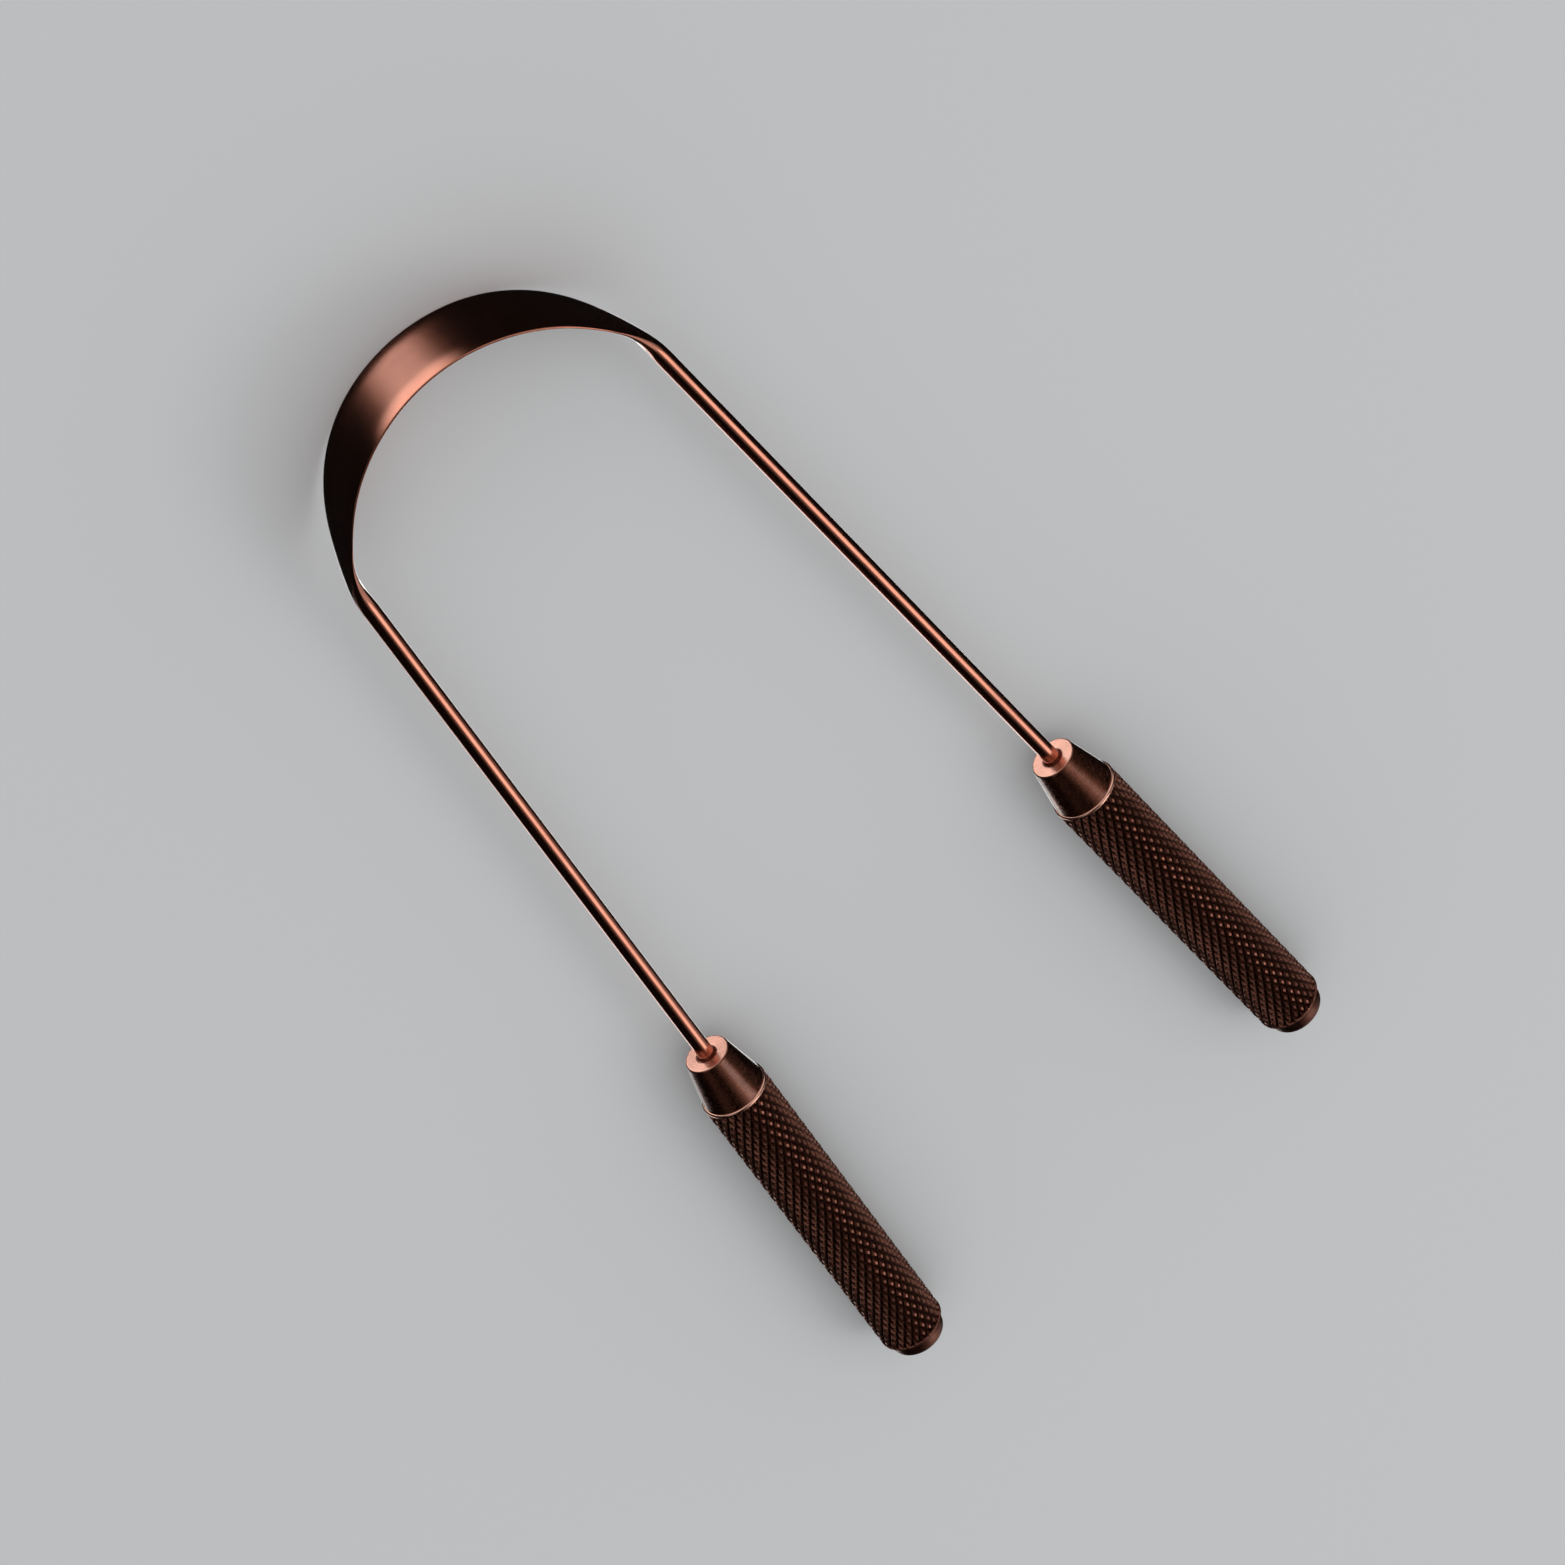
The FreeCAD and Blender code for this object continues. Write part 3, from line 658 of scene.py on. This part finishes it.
# Mask of the grime and painted shade: full at the groove bottoms, fading out just below the diamonds' flat
# tops
groove_grime_and_shade = map_range(tree, raised, low=0.05, high=0.75, at_low=1.0, at_high=0.0)
grime_and_shade_tone = mix_tones(tree, groove_grime_and_shade, copper["Tone"], GROOVE_GRIME_AND_SHADE_TONE)
dull = maths(tree, "MULTIPLY_ADD", groove_grime_and_shade, GRIME_DULLNESS, copper["Roughness"])
tone = mix_tones(tree, rim, grime_and_shade_tone, RIM_TONE)
roughness = mix_values(tree, rim, dull, RIM_ROUGHNESS)
dress_metal(tree, metal, tone, roughness, copper["Grain"], strength=0.25, distance=0.04 * MM)

rim_profile = [(GRIP_RADIUS - sunk * MM, place * MM) for sunk, place in RIM_OUTLINE]
tail_profile = [(GRIP_RADIUS - sunk * MM, GRIP_LENGTH - place * MM) for sunk, place in TAIL_OUTLINE]
for profile in (rim_profile, tail_profile):
    profile.insert(0, (GRIP_BORE_RADIUS, profile[0][1]))
    profile.append((GRIP_BORE_RADIUS, profile[-1][1]))
for side in ends:
    host = bpy.data.objects.new("knurl_host", bpy.data.meshes.new("knurl_host"))
    bpy.context.scene.collection.objects.link(host)
    rule = host.modifiers.new("knurl", "NODES")
    rule.node_group = knurl_rule
    settings = {
        "Diamond": diamond, "Starts": KNURL_STARTS, "Rows": knurl_rows + 1, "Row step": row_step,
        "First row": RIM_LENGTH, "Finish": knurled_copper,
    }
    for item in knurl_rule.interface.items_tree:
        if item.in_out == "INPUT" and item.name in settings:
            rule[item.identifier] = settings[item.name]
    evaluated = host.evaluated_get(bpy.context.evaluated_depsgraph_get())
    knurl_mesh = bpy.data.meshes.new_from_object(evaluated)
    host.modifiers.remove(rule)
    bm = bmesh.new()
    bm.from_mesh(knurl_mesh)
    bmesh.ops.remove_doubles(bm, verts=bm.verts, dist=KNURL_WELD)
    for height, normal in ((RIM_LENGTH, -1), (GRIP_LENGTH - TAIL_LENGTH, 1)):
        whole = bm.verts[:] + bm.edges[:] + bm.faces[:]
        bmesh.ops.bisect_plane(
            bm, geom=whole, plane_co=(0, 0, height), plane_no=(0, 0, normal), clear_outer=True,
            dist=CUT_TOLERANCE,
        )
    knurl_height = bm.verts.layers.float.new("knurl_height")
    turned_rim = bm.verts.layers.float.new("turned_rim")
    for profile, shine in ((rim_profile, 1.0), (tail_profile, 0.0)):
        for row in turned(bm, profile, Matrix.Identity(4), closed=True, steps=RIM_STEPS):
            for vert in row:
                vert[turned_rim] = shine
    for vert in bm.verts:
        vert[knurl_height] = (vert.co.xy.length - GRIP_RADIUS + KNURL_DEPTH) / KNURL_DEPTH
    bm.transform(handle_frame[side] @ Matrix.Translation((0, 0, COLLAR_LENGTH)))
    new_piece(f"{side}_knurled_grip", bm, f"{side}_grip", knurled_copper)
    bpy.data.objects.remove(host)
    bpy.data.meshes.remove(knurl_mesh)
bpy.data.objects.remove(diamond)

# End buttons
# A smooth plug pressed into the rear of each grip. It is turned from copper bar, smaller than the grip, and
# polished, with a rounded edge and a flat end.

BUTTON_RADIUS = 3.4 * MM
BUTTON_BEVEL = 0.05 * MM
BUTTON_ROUND = 0.9 * MM
BUTTON_ROUND_STEPS = 10
BUTTON_SPIGOT = 6.0 * MM
BUTTON_FACE_RADII = (1.6 * MM, 0.8 * MM)
BUTTON_PIP = 0.02 * MM
NOT_FACED = 0.001 * MM

polished_copper = turned_copper(
    "polished_copper", bright=(0.19, 0.072, 0.047, 1), tarnished=(0.1, 0.037, 0.025, 1), polish=0.4,
    closeness=9000.0, depth=0.3, stretch=0.25, faced=NOT_FACED, coat=0.15,
)
button_profile = [
    (BUTTON_PIP, -BUTTON_SPIGOT),
    (SPIGOT_RADIUS, -BUTTON_SPIGOT),
    (SPIGOT_RADIUS, 0.0),
    (BUTTON_RADIUS - BUTTON_BEVEL, 0.0),
    (BUTTON_RADIUS, BUTTON_BEVEL),
    (BUTTON_RADIUS, (BUTTON_LENGTH - BUTTON_ROUND) / 2),
]
for step in range(BUTTON_ROUND_STEPS + 1):
    bearing = math.pi / 2 * step / BUTTON_ROUND_STEPS
    button_profile.append((
        BUTTON_RADIUS - BUTTON_ROUND * (1 - math.cos(bearing)),
        BUTTON_LENGTH - BUTTON_ROUND * (1 - math.sin(bearing)),
    ))
button_profile += [(radius, BUTTON_LENGTH) for radius in (*BUTTON_FACE_RADII, BUTTON_PIP)]
for side in ends:
    bm = bmesh.new()
    button_frame = handle_frame[side] @ Matrix.Translation((0, 0, COLLAR_LENGTH + GRIP_LENGTH))
    rows = turned(bm, button_profile, button_frame, closed=False)
    for row in (rows[0], rows[-1]):
        bm.faces.new(row)
    button = new_piece(f"{side}_turned_button", bm, f"{side}_end_button", polished_copper)
    button.data.uv_layers[0].name = "along_round"

# Floor, light and camera
# A plain pale floor under a soft studio sky. The metal sees a darker room with a few soft boxes in it, as
# polished copper is photographed, and the camera stands where the photograph was taken.

FLOOR_HALF = 3.0
FLOOR_TONE = (0.66, 0.66, 0.65, 1)
FLOOR_ROUGHNESS = 0.9
floor_mesh = bpy.data.meshes.new("floor")
floor_corners = [(x * FLOOR_HALF, y * FLOOR_HALF, 0) for x, y in ((-1, -1), (1, -1), (1, 1), (-1, 1))]
floor_mesh.from_pydata(floor_corners, [], [(0, 1, 2, 3)])
floor = bpy.data.objects.new("floor", floor_mesh)
bpy.context.scene.collection.objects.link(floor)
pale, tree, surface = shader("pale_floor")
surface.inputs["Base Color"].default_value = FLOOR_TONE
surface.inputs["Roughness"].default_value = FLOOR_ROUGHNESS
surface.inputs["Specular IOR Level"].default_value = 0.0
floor_mesh.materials.append(pale)
floor.visible_glossy = False

SKY_TONE = (0.95, 0.97, 1.0, 1)
SKY_LEVEL = 0.75
ROOM_TONE = (1.0, 0.99, 0.97, 1)
ROOM_LEVEL = 0.005

# Soft boxes that the metal sees: aim, half width and feather in degrees, and strength
SOFT_BOXES = {
    "key": ((0.445, -0.55, 0.707), 15.5, 6, 1.55),
    "key_spill": ((0.28, -0.66, 0.7), 22, 14, 0.2),
    "blade_patch": ((-0.11, 0.715, -0.69), 12.5, 11, 1.6),
    "rim": ((0.0, -0.588, -0.809), 12, 5, 2.2),
    "rear_fill": ((0.35, -0.93, 0.12), 26, 10, 0.6),
    "overhead": ((0.3, 0.15, 0.95), 18, 8, 0.6),
    "left_fill": ((-0.75, 0.15, 0.64), 13, 7, 0.45),
    "left_rim": ((-0.5, -0.6, -0.62), 9, 5, 1.6),
}

# A band of light along the horizon on the blade's side, with limits as axis, where it is dark and where full
BAND_LEVEL = 0.7
BAND_LIMITS = [(0, -0.8, -0.3), (1, 0.0, 0.35), (2, -0.47, -0.27), (2, 0.75, 0.45)]

room = bpy.data.worlds.new("studio")
bpy.context.scene.world = room
room.use_nodes = True
sky = room.node_tree
sky.nodes.clear()
mirrored = add_node(sky, "ShaderNodeLightPath").outputs["Is Glossy Ray"]
direction = add_node(sky, "ShaderNodeTexCoord").outputs["Generated"]


def soft_box(aim, wide, feather, strength):
    """Round soft light that the metal sees: full inside its width, fading over its feather."""
    facing = add_node(
        sky, "ShaderNodeVectorMath", {0: direction, 1: Vector(aim).normalized()}, operation="DOT_PRODUCT"
    ).outputs["Value"]
    dark = math.cos(math.radians(wide + feather))
    full = math.cos(math.radians(max(wide - feather, 0.0)))
    return map_range(sky, facing, dark, full, at_high=strength, interpolation_type="SMOOTHSTEP")


direction_parts = add_node(sky, "ShaderNodeSeparateXYZ", {0: direction}).outputs
band = BAND_LEVEL
for axis, dark, full in BAND_LIMITS:
    edge = map_range(sky, direction_parts[axis], dark, full, interpolation_type="SMOOTHSTEP")
    band = maths(sky, "MULTIPLY", edge, band)
lights = [soft_box(*box) for box in SOFT_BOXES.values()] + [band, ROOM_LEVEL]
total = lights[0]
for light in lights[1:]:
    total = maths(sky, "ADD", total, light)
soft_sky = add_node(sky, "ShaderNodeBackground", {"Color": SKY_TONE, "Strength": SKY_LEVEL}).outputs[0]
dark_room = add_node(sky, "ShaderNodeBackground", {"Color": ROOM_TONE, "Strength": total}).outputs[0]
seen = add_node(sky, "ShaderNodeMixShader", {0: mirrored, 1: soft_sky, 2: dark_room}).outputs[0]
add_node(sky, "ShaderNodeOutputWorld", {"Surface": seen})
room.cycles.sampling_method = "NONE"

KEY_SIZE = 0.5
KEY_ENERGY = 1.2
KEY_DISTANCE = 1.1
KEY_DIRECTION = Vector((0.46, -0.59, 0.66))
key_data = bpy.data.lights.new("key", "AREA")
key_data.shape = "DISK"
key_data.size = KEY_SIZE
key_data.energy = KEY_ENERGY
key = bpy.data.objects.new("key", key_data)
bpy.context.scene.collection.objects.link(key)
key.location = noses_middle + KEY_DIRECTION * KEY_DISTANCE
key.rotation_euler = (key.location - noses_middle).to_track_quat("Z", "Y").to_euler()
key.visible_glossy = False

# The camera's place from the middle of the noses, its look and its top, as across, forward and upward
CAMERA_LENS = 112.194
CAMERA_SENSOR = 36.0
CAMERA_NEAREST = 0.01
CAMERA_PLACE = (1.04344 * MM, 328.99568 * MM, 423.57576 * MM)
CAMERA_LOOK = (-0.000639, -0.587755, -0.809039)
CAMERA_TOP = (0.650256, 0.614395, -0.446862)
camera_data = bpy.data.cameras.new("camera")
camera_data.sensor_width = CAMERA_SENSOR
camera_data.lens = CAMERA_LENS
camera_data.clip_start = CAMERA_NEAREST
camera = bpy.data.objects.new("camera", camera_data)
bpy.context.scene.collection.objects.link(camera)


def in_hand_frame(vector):
    """Direction given as across, forward and upward of the object."""
    return across * vector[0] + forward * vector[1] + upward * vector[2]


look = in_hand_frame(CAMERA_LOOK)
right = look.cross(in_hand_frame(CAMERA_TOP)).normalized()
turn = Matrix((right, right.cross(look), -look)).transposed()
camera.matrix_world = Matrix.Translation(noses_middle + in_hand_frame(CAMERA_PLACE)) @ turn.to_4x4()
bpy.context.scene.camera = camera
bpy.context.scene.view_settings.view_transform = "Standard"
